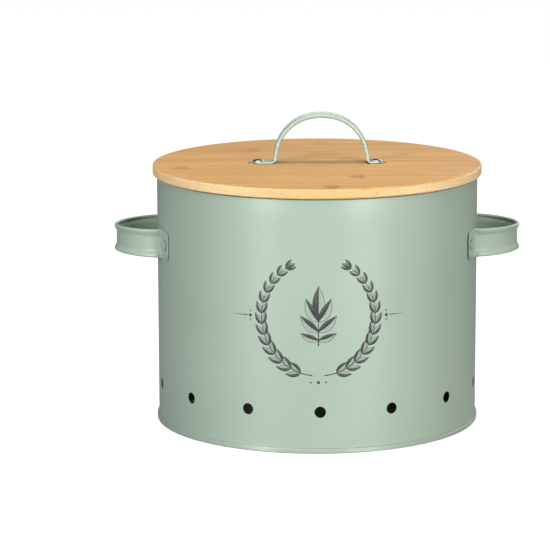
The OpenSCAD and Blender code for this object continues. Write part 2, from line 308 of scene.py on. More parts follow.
print("helpers ready")

# %% [markdown]
# ## The floor's finish
#
# The floor is white to the camera but sends little light back, because in the
# photograph the bin's foot is darker than its middle. It is smooth, so the drum
# also sees the softboxes mirrored in it, and its highlights stay nearly even
# from rim to base.

# %% Finish the floor
grey = (0.21, 0.21, 0.21, 1.0)
glow = 0.97

floor_material, floor_tree, floor_shader = start_material("pale_floor", roughness=0.15)
floor_shader.inputs["Base Color"].default_value = grey
floor_shader.inputs["Specular IOR Level"].default_value = 0.5
floor_shader.inputs["Emission Color"].default_value = (1.0, 1.0, 1.0, 1.0)
seen = floor_tree.nodes.new("ShaderNodeLightPath").outputs["Is Camera Ray"]
floor_tree.links.new(times(floor_tree, seen, glow), floor_shader.inputs["Emission Strength"])
floor_mesh.materials.append(floor_material)
print("floor finish:", floor_material.name)

# %% [markdown]
# ## Sage paint
#
# The steel is powder coated: a satin skin of baked paint with the faint orange
# peel that powder leaves when it melts. Its colour drifts a little over a hand's
# breadth, and the gloss with it. The relief is about a hundredth of a
# millimetre deep, which is enough to break up a highlight. Shade gathers in
# crevices and round the heads of the side rivets. The drum and the side handles
# are satin. The lid handle, the base and the rivets got a thin clear coat on
# top, so their highlights are sharper.

# %% Mix the sage paint


def rivet_ring(tree, point):
    """1 in the narrow groove round the head of each side rivet, 0 elsewhere."""
    low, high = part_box("right_rear_rivet")
    middle = (low + high) / 2
    mirrored = tree.nodes.new("ShaderNodeVectorMath")
    mirrored.operation = "ABSOLUTE"
    tree.links.new(point, mirrored.inputs[0])
    lowered = stretch(tree, mirrored.outputs["Vector"], (1, 1, 1), (0, 0, -middle.z))
    crossed = tree.nodes.new("ShaderNodeVectorMath")
    crossed.operation = "CROSS_PRODUCT"
    crossed.inputs[1].default_value = Vector((middle.x, middle.y, 0)).normalized()
    tree.links.new(lowered, crossed.inputs[0])
    off_axis = length_of(tree, crossed.outputs["Vector"])
    head_r = (high.z - low.z) / 2
    # The groove fades in over the head's edge and out again on the strip
    inner = spread(tree, off_axis, head_r - 0.5 * MM, head_r - 0.1 * MM)
    outer = spread(tree, off_axis, head_r + 0.7 * MM, head_r + 0.2 * MM)
    return times(tree, inner, outer)


def mix_sage_paint(name, tone, darker, specular, coat=0.0):
    """Powder coat between two tones, with orange peel and darker crevices."""
    material, tree, shader = start_material(name, roughness=0.42)
    point = place(tree)
    drift = noise(tree, point, scale=14.0)
    peel = noise(tree, point, scale=650.0, detail=1.0)
    gloss = noise(tree, point, scale=45.0)
    colour = blend(tree, spread(tree, drift, 0.3, 0.7), darker, tone)
    crevice = tuple(value * 0.40 for value in darker)
    colour = blend(tree, spread(tree, openness(tree), 0.15, 0.85), crevice, colour)
    colour = blend(tree, times(tree, rivet_ring(tree, point), 0.8), colour, crevice)
    tree.links.new(colour, shader.inputs["Base Color"])
    tree.links.new(spread(tree, gloss, 0.3, 0.7, 0.33, 0.39), shader.inputs["Roughness"])
    shader.inputs["Specular IOR Level"].default_value = specular
    shader.inputs["Coat Weight"].default_value = coat
    shader.inputs["Coat Roughness"].default_value = 0.28
    relief(tree, shader, peel, 0.012 * MM)
    return material


sage_tones = ((0.315, 0.395, 0.330), (0.300, 0.380, 0.316))
sage_paint = mix_sage_paint("sage_paint_satin", *sage_tones, specular=0.42)
sage_gloss = mix_sage_paint("sage_paint_glossy", *sage_tones, specular=0.75, coat=0.5)
print("paint:", sage_paint.name, "and", sage_gloss.name)

# %% [markdown]
# ## Bamboo
#
# The lid is glued up from bamboo strips that all run left to right. Each strip
# has its own tone, long fibres, and here and there the darker scar of a node,
# where the cane had a joint. On the rim the fibres are cut across and show as
# fine dots. A thin satin lacquer covers it all. The fibres are noise that is
# stretched along X, the strips are steps along Y, and the scars are soft
# ellipses at listed places, roughened by noise.

# %% Lay up the bamboo
STRIP_WIDTH = 23.0 * MM
# Middle of each scar on the lid and its strength
SCARS = [
    ((27 * MM, -64 * MM), 0.85),
    ((8.5 * MM, -108 * MM), 0.95),
    ((-97 * MM, -24 * MM), 0.60),
    ((5 * MM, 92 * MM), 0.35),
    ((93 * MM, -44 * MM), 0.30),
    ((-46 * MM, 61 * MM), 0.45),
    ((62 * MM, 38 * MM), 0.35),
]


def scar_mask(tree, point, middle):
    """1 at a node's scar and 0 away from it."""
    size = (9.5 * MM, 13.0 * MM, 40.0 * MM)
    scale = tuple(1 / value for value in size)
    shift = (-middle[0] / size[0], -middle[1] / size[1], -lid_top / size[2])
    local = stretch(tree, point, scale, shift)
    ragged = noise(tree, stretch(tree, point, (260, 420, 300)), scale=1.0)
    uneven = calculate(tree, "ADD", length_of(tree, local), times(tree, ragged, 1.4))
    spots = noise(tree, stretch(tree, point, (700, 480, 300)), scale=1.0, detail=1.0)
    torn = spread(tree, spots, 0.40, 0.58, 0.3, 1.0)
    return times(tree, spread(tree, uneven, 1.55, 0.85), torn)


print("scars on the lid:", len(SCARS))

# %% [markdown]
# The top's colour goes from large to small: the grain, the fibres, the tone of
# the strip, a few clouds and the scars. Each strip reads the noise at another
# place along X, so the grain breaks off at the glue lines. The rim is paler, and
# more so towards the sides, and its dots only show on faces that don't look up.

# %% Colour the top and the rim
LIGHT_CANE = (0.755, 0.448, 0.168)
MIDDLE_CANE = (0.588, 0.306, 0.097)
DARK_CANE = (0.400, 0.190, 0.065)
SCAR = (0.240, 0.110, 0.040)
FRONT_RIM = (0.610, 0.435, 0.205)
SIDE_RIM = (0.780, 0.590, 0.350)
CREVICE_SHADE = (0.10, 0.07, 0.04)


def colour_top(tree, point, strip, along, fibres):
    """The colour of the boards, seen on the flat of the lid."""
    strip_tone = tree.nodes.new("ShaderNodeTexWhiteNoise")
    strip_tone.noise_dimensions = "1D"
    tree.links.new(strip, strip_tone.inputs["W"])
    long_grain = noise(tree, stretch(tree, along, (7, 330, 330)), scale=1.0, detail=4.0)
    clouds = noise(tree, stretch(tree, along, (9, 26, 26)), scale=1.0, detail=2.0)
    colour = blend(tree, spread(tree, long_grain, 0.34, 0.66), LIGHT_CANE, MIDDLE_CANE)
    colour = blend(tree, times(tree, spread(tree, fibres, 0.48, 0.80), 0.45), colour, DARK_CANE)
    colour = blend(tree, times(tree, strip_tone.outputs["Value"], 0.30), colour, MIDDLE_CANE)
    colour = blend(tree, times(tree, spread(tree, clouds, 0.45, 0.8), 0.35), colour, MIDDLE_CANE)
    for centre, strength in SCARS:
        colour = blend(tree, times(tree, scar_mask(tree, point, centre), strength), colour, SCAR)
    return colour


def colour_rim(tree, point, colour):
    """The same colour on faces that don't look up, but paler, more so towards the left and right, and
    dotted where the cane is cut across.
    """
    facing = tree.nodes.new("ShaderNodeNewGeometry").outputs["Normal"]
    upright = spread(tree, calculate(tree, "ABSOLUTE", split(tree, facing)["Z"]), 0.75, 0.35)
    off_middle = calculate(tree, "ABSOLUTE", split(tree, point)["X"])
    rim_colour = blend(tree, spread(tree, off_middle, 25 * MM, 75 * MM), FRONT_RIM, SIDE_RIM)
    colour = blend(tree, times(tree, upright, 0.85), colour, rim_colour)
    dots = noise(tree, stretch(tree, point, (620, 1100, 1100)), scale=1.0, detail=1.0)
    dots = times(tree, spread(tree, dots, 0.58, 0.72), 0.5)
    return blend(tree, times(tree, dots, upright), colour, DARK_CANE)


def mix_bamboo(name):
    """Lacquered bamboo in strips along X."""
    material, tree, shader = start_material(name, roughness=0.42)
    point = place(tree)
    parts = split(tree, point)
    strip = calculate(tree, "FLOOR", calculate(tree, "DIVIDE", parts["Y"], STRIP_WIDTH))
    along = tree.nodes.new("ShaderNodeCombineXYZ")
    tree.links.new(calculate(tree, "ADD", parts["X"], times(tree, strip, 7.3)), along.inputs["X"])
    tree.links.new(parts["Y"], along.inputs["Y"])
    tree.links.new(parts["Z"], along.inputs["Z"])
    along = along.outputs["Vector"]

    fibres = noise(tree, stretch(tree, along, (45, 1700, 1700)), scale=1.0, detail=3.0)
    colour = colour_rim(tree, point, colour_top(tree, point, strip, along, fibres))
    # Painted shade: the colour darkens in crevices a few millimetres wide, such as round the handle's
    # feet and tabs.
    colour = blend(tree, spread(tree, openness(tree), 0.35, 0.9), CREVICE_SHADE, colour)
    tree.links.new(colour, shader.inputs["Base Color"])
    tree.links.new(spread(tree, fibres, 0.3, 0.8, 0.36, 0.48), shader.inputs["Roughness"])
    shader.inputs["Specular IOR Level"].default_value = 0.15
    shader.inputs["Coat Weight"].default_value = 0.08
    shader.inputs["Coat Roughness"].default_value = 0.22
    relief(tree, shader, fibres, 0.01 * MM)
    return material


bamboo = mix_bamboo("bamboo_lacquered")
print("bamboo:", bamboo.name)

# %% [markdown]
# ## Bright and dull metal
#
# The two screws on top are nickel plated, so they mirror the studio. Towards the
# edge of each head the colour is darkened, a painted reflection of the dark
# room that the rim of a domed head mirrors. The nuts and washers underneath are
# zinc plated, which is duller all over and slightly uneven.

# %% Plate the fasteners


def mix_plating(name, tone, roughness, grain, dark_rim_from):
    """Plating whose colour darkens towards the edge of a screw's head, from a distance off its axis: a
    painted reflection of the dark room that a domed head's rim mirrors.
    """
    material, tree, shader = start_material(name, roughness, metallic=1.0)
    point = place(tree)
    mottle = noise(tree, point, grain)
    shade = tuple(value * 0.92 for value in tone)
    colour = blend(tree, spread(tree, mottle, 0.3, 0.7), tone, shade)
    parts = split(tree, point)
    off_axis = calculate(tree, "SUBTRACT", calculate(tree, "ABSOLUTE", parts["X"]), screw_x)
    squares = calculate(tree, "ADD", times(tree, off_axis, off_axis), times(tree, parts["Y"], parts["Y"]))
    # Painted reflection: further than a set distance off the screw's axis the colour darkens, as a domed
    # head's rim mirrors the dark room.
    edge = spread(tree, calculate(tree, "SQRT", squares), dark_rim_from, dark_rim_from + 0.7 * MM)
    dark_rim_colour = tuple(value * 0.60 for value in tone)
    tree.links.new(blend(tree, edge, colour, dark_rim_colour), shader.inputs["Base Color"])
    scuffs = spread(tree, mottle, 0.3, 0.7, roughness * 0.8, roughness * 1.25)
    tree.links.new(scuffs, shader.inputs["Roughness"])
    relief(tree, shader, noise(tree, point, grain * 3), 0.002 * MM)
    return material


screw_low, screw_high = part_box("right_lid_screw")
screw_x = (screw_low.x + screw_high.x) / 2
nickel_tone = (0.80, 0.79, 0.76)
zinc_tone = (0.62, 0.64, 0.66)
bright_nickel = mix_plating("bright_nickel", nickel_tone, roughness=0.18, grain=300.0, dark_rim_from=2.0 * MM)
dull_zinc = mix_plating("dull_zinc", zinc_tone, roughness=0.34, grain=700.0, dark_rim_from=8.0 * MM)

finish_of_slot = {
    "sage_paint": sage_gloss,
    "bamboo": bamboo,
    "bright_steel": bright_nickel,
    "zinc_steel": dull_zinc,
}
for node in nodes.values():
    for material_slot in node.material_slots:
        material_slot.material = finish_of_slot[material_slot.material.name]
print("finishes on CAD nodes:", len(finish_of_slot))

# %% [markdown]
# ## Ink
#
# The print is charcoal rather than black, and a little uneven, as ink is that
# was rolled on through a screen: tiny flecks let the paint show.

# %% Mix the ink
INK = (0.040, 0.046, 0.044)
THIN_INK = (0.22, 0.27, 0.23)


def mix_ink(name):
    """Flat ink that lets the paint through in flecks."""
    material, tree, shader = start_material(name, roughness=0.5)
    point = place(tree)
    flecks = noise(tree, point, scale=1900.0, detail=2.0)
    cover = spread(tree, flecks, 0.66, 0.74)
    colour = blend(tree, cover, INK, THIN_INK)
    tree.links.new(colour, shader.inputs["Base Color"])
    return material


charcoal_ink = mix_ink("charcoal_ink")
print("ink:", charcoal_ink.name)

# %% [markdown]
# ## Turning a bmesh into a piece
#
# Every new piece ends the same way: its bmesh becomes a mesh with smooth faces,
# gets its finish, and rides on the body that carries it. Where it stands for a
# node of the frame, that node is hidden and stays in the simulation only. Thin
# pieces are drawn as a single skin, and a Solidify modifier gives the skin its
# wall. A narrow bevel then takes the razor edge off, as paint does.

# %% Helpers for pieces


def finish_piece(shape, name, material, body, replaced=()):
    """Makes an object of a bmesh, with its finish and the body that it rides on."""
    mesh = bpy.data.meshes.new(name)
    shape.to_mesh(mesh)
    shape.free()
    mesh.shade_smooth()
    mesh.materials.append(material)
    piece = bpy.data.objects.new(name, mesh)
    bpy.context.scene.collection.objects.link(piece)
    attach(piece, body)
    if replaced:
        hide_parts(*replaced)
    print(name, "has", len(mesh.polygons), "faces before its modifiers")
    return piece


def add_wall(piece, thickness, edge):
    """Gives a skin its thickness, away from where its faces look, and softens its edges."""
    wall = piece.modifiers.new("wall", "SOLIDIFY")
    wall.thickness = thickness
    wall.offset = -1
    wall.use_even_offset = True
    softening = piece.modifiers.new("softening", "BEVEL")
    softening.width = edge
    softening.segments = 2
    softening.limit_method = "ANGLE"
    softening.angle_limit = math.radians(50)


def new_part(result, kind):
    """The vertices or edges among what an operator made."""
    return [item for item in result["geom"] if isinstance(item, kind)]


def rolled(across, up, radius):
    """Where a point of the flat sheet lies once the sheet is rolled. 0 is the middle of the front."""
    turn = across / radius
    return Vector((radius * math.sin(turn), -radius * math.cos(turn), up))


print("a quarter of the sheet ends at", rolled(math.pi * drum_r / 2, 0, drum_r).to_tuple(3))

# %% [markdown]
# ## The drum: punched flat, then rolled
#
# The real drum starts as a flat sheet. The vent holes are punched while it is
# flat, then the sheet is rolled, its ends are lapped and welded at the back,
# the rim is curled inwards and the foot is folded into the base seam. The mesh
# goes the same way. One column of the sheet is drawn flat round one hole, as
# rings that run from the circle out to a square. Fourteen columns side by side
# make the sheet, and rolling moves each vertex onto the cylinder. Cutting the
# holes into a finished cylinder instead would leave long thin faces round each
# hole, and they would show in the satin highlight.

# %% Punch one column of the sheet
VENTS = 14
vent_r = 4.0 * MM
vent_z = 29.3 * MM
ring_radii = (4.35 * MM, 5.2 * MM, 6.9 * MM, 9.4 * MM)
column_w = 2 * math.pi * drum_r / VENTS
column_steps = 16
square_steps = 8
step_w = column_w / column_steps
square_half = square_steps / 2 * step_w
rows_above = 9
rows_below = 3
curl_r = 1.2 * MM
wall_top = rim_top - curl_r
fold_z = 1.05 * MM


def square_point(angle):
    """Where a ray at this angle meets the square, with the points evenly spaced along each side."""
    side = round(angle / (math.pi / 2))
    share = (angle - side * math.pi / 2) / (math.pi / 4)
    corner = Vector((square_half, square_half * share, 0))
    corner.rotate(Matrix.Rotation(side * math.pi / 2, 3, "Z"))
    return corner


sheet = bmesh.new()
bmesh.ops.create_circle(sheet, segments=4 * square_steps, radius=vent_r)
edge_ring = list(sheet.edges)
for radius in ring_radii:
    grown = bmesh.ops.extrude_edge_only(sheet, edges=edge_ring)
    edge_ring = new_part(grown, bmesh.types.BMEdge)
    for vertex in new_part(grown, bmesh.types.BMVert):
        vertex.co = vertex.co.normalized() * radius
grown = bmesh.ops.extrude_edge_only(sheet, edges=edge_ring)
for vertex in new_part(grown, bmesh.types.BMVert):
    vertex.co = square_point(math.atan2(vertex.co.y, vertex.co.x))


def grow_side(shape, axis, side, targets):
    """Extends the sheet's outermost edges on one side to each target in turn."""
    for target in targets:
        limit = max(side * vertex.co[axis] for vertex in shape.verts)
        border = [
            edge
            for edge in shape.edges
            if all(side * vertex.co[axis] > limit - TOUCH for vertex in edge.verts)
        ]
        grown = bmesh.ops.extrude_edge_only(shape, edges=border)
        for vertex in new_part(grown, bmesh.types.BMVert):
            vertex.co[axis] = target


def even_steps(start, end, count):
    """Evenly spaced values after the start, up to the end."""
    return [start + (end - start) * step / count for step in range(1, count + 1)]


side_steps = (column_steps - square_steps) // 2
for side in (-1, 1):
    grow_side(sheet, 0, side, even_steps(side * square_half, side * column_w / 2, side_steps))
grow_side(sheet, 1, 1, even_steps(square_half, wall_top - vent_z, rows_above))
grow_side(sheet, 1, -1, even_steps(-square_half, fold_z - vent_z, rows_below))
bmesh.ops.translate(sheet, vec=(0, vent_z, 0), verts=sheet.verts)
punched_column = sheet.copy()
print("faces in one column:", len(sheet.faces))

# %% [markdown]
# Copies of the column go side by side until they reach once round the drum.
# Rolling then bends the sheet, and where two columns or the two ends meet, their
# vertices are merged.

# %% Set the columns side by side and roll the sheet
one_column = list(sheet.verts) + list(sheet.edges) + list(sheet.faces)
for column in range(1, VENTS):
    copy = bmesh.ops.duplicate(sheet, geom=one_column)
    copied = new_part(copy, bmesh.types.BMVert)
    bmesh.ops.translate(sheet, vec=(column * column_w, 0, 0), verts=copied)
for vertex in sheet.verts:
    vertex.co = rolled(vertex.co.x, vertex.co.y, drum_r)
bmesh.ops.remove_doubles(sheet, verts=sheet.verts, dist=TOUCH)
bmesh.ops.recalc_face_normals(sheet, faces=sheet.faces)
print("faces in the rolled sheet:", len(sheet.faces))

# %% [markdown]
# The rim is curled by drawing the top edge round a small circle, and the foot
# is folded out and up again inside the base seam. Both are the same step: pull
# the border out by one extrusion, then set its radius and height. At the back
# the outer end of the sheet draws a fine line from rim to base, so two pairs
# of cuts mark it and the narrow band between them is pressed in.

# %% Curl the rim, fold the foot and mark the lap
curl_turn = math.radians(300)
curl_steps = 14
hook_r = drum_r + 0.25 * MM
hook_top = 2.95 * MM


def border_at(shape, height):
    """The edges that lie at one height and have a face on one side only."""
    return [
        edge
        for edge in shape.edges
        if edge.is_boundary and all(abs(vertex.co.z - height) < TOUCH for vertex in edge.verts)
    ]


def draw_border(shape, edges, radius, height):
    """Pulls a round border out to a new radius and height."""
    grown = bmesh.ops.extrude_edge_only(shape, edges=edges)
    for vertex in new_part(grown, bmesh.types.BMVert):
        flat = Vector((vertex.co.x, vertex.co.y)).normalized() * radius
        vertex.co = (flat.x, flat.y, height)
    return new_part(grown, bmesh.types.BMEdge)


lap_groove = (3.0 * MM, 3.15 * MM, 3.35 * MM, 3.5 * MM)
groove_t = 0.15 * MM
for cut in lap_groove:
    back = [face for face in sheet.faces if face.calc_center_median().y > drum_r * 0.9]
    parts = set(back)
    for face in back:
        parts.update(face.edges)
        parts.update(face.verts)
    bmesh.ops.bisect_plane(sheet, geom=list(parts), plane_co=(cut, 0, 0), plane_no=(1, 0, 0))
for vertex in sheet.verts:
    if vertex.co.y > 0 and lap_groove[0] + TOUCH < vertex.co.x < lap_groove[3] - TOUCH:
        vertex.co.y -= groove_t

rim = border_at(sheet, wall_top)
for angle in even_steps(0.0, curl_turn, curl_steps):
    curl_out = drum_r - curl_r + curl_r * math.cos(angle)
    rim = draw_border(sheet, rim, curl_out, wall_top + curl_r * math.sin(angle))
foot = border_at(sheet, fold_z)
foot = draw_border(sheet, foot, hook_r, fold_z)
draw_border(sheet, foot, hook_r, hook_top)

drum_wall = finish_piece(sheet, "drum_wall", sage_paint, "bin", ["body_shell"])
add_wall(drum_wall, sheet_t, 0.14 * MM)

# %% [markdown]
# Inside, the other end of the sheet lies behind the first as a flat band, six
# millimetres wide, from the base to just below the curl. It shows when the lid
# is off. It is cut from the punched column, so the vent hole goes through it too.

# %% The inner end of the sheet
lap_w = 6.0 * MM
lap_foot = 5.2 * MM
lap_head = 174.6 * MM
lap = punched_column
lap_cuts = (
    ((lap_w / 2, 0, 0), (1, 0, 0)),
    ((-lap_w / 2, 0, 0), (-1, 0, 0)),
    ((0, lap_foot, 0), (0, -1, 0)),
    ((0, lap_head, 0), (0, 1, 0)),
)
for cut_place, cut_away in lap_cuts:
    parts = lap.verts[:] + lap.edges[:] + lap.faces[:]
    bmesh.ops.bisect_plane(lap, geom=parts, plane_co=cut_place, plane_no=cut_away, clear_outer=True)
lap_r = drum_r - sheet_t
for vertex in lap.verts:
    vertex.co = rolled(vertex.co.x + math.pi * lap_r, vertex.co.y, lap_r)
drum_lap = finish_piece(lap, "drum_lap", sage_paint, "bin")
add_wall(drum_lap, sheet_t, 0.1 * MM)

# %% [markdown]
# ## Strip with curled edges
#
# All three handles are bent from the same kind of steel strip. Its edges flare
# away from the hand and end in a bead that is rolled back inwards. That stiffens
# the strip and spares the fingers. Where the strip becomes a tab, flare and bead
# open and run out flat, and so the strip isn't a profile along a curve: its
# section changes on the way. A row of vertices is laid across the strip instead,
# and each extrusion lays the next row where the strip goes, with the bead as far
# closed as it is there. Each vertex remembers its place in the row in a layer
# that extrusion copies.

# %% The section of the strip
bead_closed = math.radians(205)
bead_open = math.radians(2)
bead_points = 12
flare_points = 6
flat_points = 4


def eased(share):
    """0 before the start, 1 after the end, and a smooth change between them."""
    share = max(0.0, min(1.0, share))
    return share * share * (3 - 2 * share)


def half_section(size, closed):
    """The hand's side of the strip, from its middle line out to the end of one bead.

    The size is the strip's width, the radius inside the bead, how far the edge
    stands out and over what width it flares. Each point is its distance across
    and its distance away from the hand. Where the bead isn't closed, it is flatter.
    """
    width, bead_r, proud, flare_w = size
    turn = bead_open + (bead_closed - bead_open) * closed
    bead_start = width / 2 - bead_r - strip_t * closed
    flat_end = bead_start - flare_w
    rise = (proud - strip_t) * closed
    points = [(flat_end * index / flat_points, 0.0) for index in range(flat_points + 1)]
    for index in range(1, flare_points + 1):
        share = index / flare_points
        points.append((flat_end + flare_w * share, rise * eased(share)))
    flat_r = bead_r / math.sin(min(turn, math.pi / 2))
    for index in range(1, bead_points + 1):
        angle = turn * index / bead_points
        points.append((bead_start + flat_r * math.sin(angle), rise - flat_r * (1 - math.cos(angle))))
    return points


def lay_strip(shape, stations, size, across):
    """Lays a strip through its stations, from the middle of a handle to one tab's end.

    A station is the point on the hand's side, the way out from the hand, how
    closed the beads are from 0 to 1, and the width there as a share of the full one.
    """
    index_layer = shape.verts.layers.int["place_in_row"]

    def row_at(station):
        point, out, closed, wide = station
        half = half_section(size, closed)
        both = [(-first, second) for first, second in reversed(half[1:])] + half
        return [point + across * first * wide + out * second for first, second in both]

    row = []
    for index, corner in enumerate(row_at(stations[0])):
        vertex = shape.verts.new(corner)
        vertex[index_layer] = index
        row.append(vertex)
    edges = [shape.edges.new(pair) for pair in zip(row, row[1:])]
    for station in stations[1:]:
        corners = row_at(station)
        grown = bmesh.ops.extrude_edge_only(shape, edges=edges)
        laid = set(new_part(grown, bmesh.types.BMVert))
        for vertex in laid:
            vertex.co = corners[vertex[index_layer]]
        edges = [edge for edge in new_part(grown, bmesh.types.BMEdge) if laid.issuperset(edge.verts)]


def close_beads(path, *openings):
    """Adds to each point of a path how closed the beads are, by the distance along it.

    Over each opening, from its start to its end, they go over to a new share.
    """
    stations = []
    travelled = 0.0
    before = path[0][0]
    for point, out, wide in path:
        travelled += (point - before).length
        before = point
        closed = 1.0
        for start, end, share in openings:
            closed += (share - closed) * eased((travelled - start) / (end - start))
        stations.append((point, out, closed, wide))
    return stations


def path_length(path):
    """How long a path is, along its points."""
    return sum((second[0] - first[0]).length for first, second in zip(path, path[1:]))


def face_the_hand(shape, hand):
    """Turns the whole skin so that its faces look at the hand."""
    bmesh.ops.recalc_face_normals(shape, faces=shape.faces)
    sample = max(shape.faces, key=lambda face: face.calc_area())
    if sample.normal.dot(hand - sample.calc_center_median()) < 0:
        bmesh.ops.reverse_faces(shape, faces=shape.faces)


print("points across the strip:", 2 * (flat_points + flare_points + bead_points) + 1)

# %% [markdown]
# ## The side handles
#
# Seen from above a side handle has a round tip and two flatter sides, which end
# in tight bends. From there a tab follows the drum to each side. The bend
# touches the loop and the tab, so its middle is where two circles meet: one
# round the axis of the drum and one round the middle of the loop's side. The
# strip is drawn a little narrower towards the tip. Half of it is laid from the
# tip to the end of one tab, and the mirror gives the rest.

# %% Bend the side handles
side_z = (loop_low.z + loop_high.z) / 2
side_size = (loop_high.z - loop_low.z, 0.35 * MM, 2.26 * MM, 4.0 * MM)
side_reach = loop_high.x - drum_r - side_size[2]
tip_r = 21.8 * MM
tip_angle = math.radians(25)
side_r = 37.8 * MM
seam_gap = 0.05 * MM
tab_r = drum_r + seam_gap
bend_r = 2.0 * MM + strip_t
tab_l = 14.5 * MM
tab_corner = 4.0 * MM
lift_l = 5.0 * MM
narrowest = 0.945
widest = 1.055

tip_middle = Vector((drum_r + side_reach - tip_r, 0, side_z))
side_middle = tip_middle - (side_r - tip_r) * Vector((math.cos(tip_angle), math.sin(tip_angle), 0))
far = side_middle.xy.length
bend_far = tab_r + bend_r
share = (far**2 + bend_far**2 - (side_r + bend_r) ** 2) / (2 * far * bend_far)
bend_angle = math.atan2(side_middle.y, side_middle.x) + math.acos(share)
bend_middle = Vector((bend_far * math.cos(bend_angle), bend_far * math.sin(bend_angle), side_z))
side_end = math.atan2(bend_middle.y - side_middle.y, bend_middle.x - side_middle.x)


def level(angle):
    """A level direction, by its angle from the X axis."""
    return Vector((math.cos(angle), math.sin(angle), 0))


def side_path(tab_lift):
    """Point, way out and width, from the loop's tip to the tab's end, which stands off a little."""
    loop = []
    for angle in [0.0] + even_steps(0.0, tip_angle, 10):
        loop.append((tip_middle + level(angle) * tip_r, level(angle)))
    for angle in even_steps(tip_angle, side_end, 24):
        loop.append((side_middle + level(angle) * side_r, level(angle)))
    path = []
    for index, (point, out) in enumerate(loop):
        path.append((point, out, narrowest + (widest - narrowest) * index / (len(loop) - 1)))
    for angle in even_steps(side_end, bend_angle, 10):
        path.append((bend_middle - level(angle) * bend_r, level(angle), widest))
    half = side_size[0] / 2 * widest
    tab = [(along, widest) for along in even_steps(0.0, tab_l - tab_corner, 6)]
    for angle in even_steps(0.0, math.pi / 2, 8):
        wide = widest * (half - tab_corner + tab_corner * math.cos(angle)) / half
        tab.append((tab_l - tab_corner + tab_corner * math.sin(angle), wide))
    for along, wide in tab:
        out = level(bend_angle + along / tab_r)
        lift = tab_lift * max(0.0, 1 - (tab_l - along) / lift_l) ** 2
        path.append((out * (tab_r + lift) + Vector((0, 0, side_z)), out, wide))
    return path


side_handles = (
    (1, "right_side_handle", 0.9 * MM),
    (-1, "left_side_handle", 0.35 * MM),
)
for side, node_name, tab_lift in side_handles:
    strip = bmesh.new()
    strip.verts.layers.int.new("place_in_row")
    path = side_path(tab_lift)
    bend_end = path_length(path) - tab_l
    opened = (bend_end - 5.5 * MM, bend_end + 0.5 * MM, 0.0)
    lay_strip(strip, close_beads(path, opened), side_size, Vector((0, 0, 1)))
    everything = strip.verts[:] + strip.edges[:] + strip.faces[:]
    bmesh.ops.mirror(strip, geom=everything, axis="Y", merge_dist=TOUCH)
    bmesh.ops.remove_doubles(strip, verts=strip.verts, dist=TOUCH)
    if side < 0:
        bmesh.ops.scale(strip, vec=(-1, 1, 1), verts=strip.verts)
    face_the_hand(strip, Vector((side * drum_r, 0, side_z)))
    name = node_name.replace("_side", "") + "_strip"
    handle = finish_piece(strip, name, sage_paint, "bin", [node_name])
    add_wall(handle, strip_t, 0.12 * MM)

# %% [markdown]
# ## The lid handle
#
# The arch is a flat crown between two tighter shoulders, legs that spread more
# and more as they near the lid, and a small bend at each foot. The arch sits
# slightly to the right between its two screws, so the left tab is longer. Along
# the tabs the edges aren't flat: they stay as a low pressed rim up to the round
# end. Each side is laid from the crown down, and the two meet in the middle.

# %% Bend the lid handle
arch_size = (arch_high.y - arch_low.y, 0.80 * MM, 3.0 * MM, 2.4 * MM)
crown_r = 40.0 * MM
crown_angle = math.radians(11)
shoulder_r = 29.0 * MM
leg_splay = math.radians(12)
sweep_r = 25.0 * MM
sweep_angle = math.radians(64)
foot_r = 2.25 * MM + strip_t
arch_shift = 3.0 * MM
crown_z = arch_high.z - arch_size[2] - crown_r
leg_way = Vector((math.sin(leg_splay), 0, -math.cos(leg_splay)))


def upright(angle):
    """A direction in the plane of the arch, by its angle from straight up."""
    return Vector((math.sin(angle), 0, math.cos(angle)))


shoulder_middle = Vector((0, 0, crown_z)) + upright(crown_angle) * (crown_r - shoulder_r)
leg_angle = math.pi / 2 - leg_splay
leg_top = shoulder_middle + upright(leg_angle) * shoulder_r
sweep_h = sweep_r * (math.cos(sweep_angle) - math.cos(leg_angle))
foot_h = foot_r * (1 - math.cos(sweep_angle))
leg_l = (leg_top.z - lid_top - foot_h - sweep_h) / math.cos(leg_splay)
sweep_middle = leg_top + leg_way * leg_l + upright(leg_angle) * sweep_r
foot_middle = sweep_middle + upright(sweep_angle) * (foot_r - sweep_r)
print("legs:", round(leg_l / MM, 2), "mm straight, foot at", round(foot_middle.x / MM, 2), "mm")


def arch_path(tab_end):
    """Point, way out and width from the crown's middle to a tab's end at x = tab_end."""
    path = [(Vector((0, 0, crown_z + crown_r)), upright(0.0), 1.0)]
    for angle in even_steps(0.0, crown_angle, 6):
        path.append((Vector((0, 0, crown_z)) + upright(angle) * crown_r, upright(angle), 1.0))
    for angle in even_steps(crown_angle, leg_angle, 24):
        path.append((shoulder_middle + upright(angle) * shoulder_r, upright(angle), 1.0))
    for along in even_steps(0.0, leg_l, 2):
        path.append((leg_top + leg_way * along, upright(leg_angle), 1.0))
    for angle in even_steps(leg_angle, sweep_angle, 6):
        path.append((sweep_middle - upright(angle) * sweep_r, upright(angle), 1.0))
    for angle in even_steps(sweep_angle, 0.0, 8):
        path.append((foot_middle - upright(angle) * foot_r, upright(angle), 1.0))
    round_r = arch_size[0] / 2
    for along in even_steps(foot_middle.x, tab_end - round_r, 8):
        path.append((Vector((along, 0, lid_top)), upright(0.0), 1.0))
    for angle in even_steps(0.0, math.pi / 2, 12):
        along = tab_end - round_r + round_r * math.sin(angle)
        path.append((Vector((along, 0, lid_top)), upright(0.0), max(math.cos(angle), 0.02)))
    return path


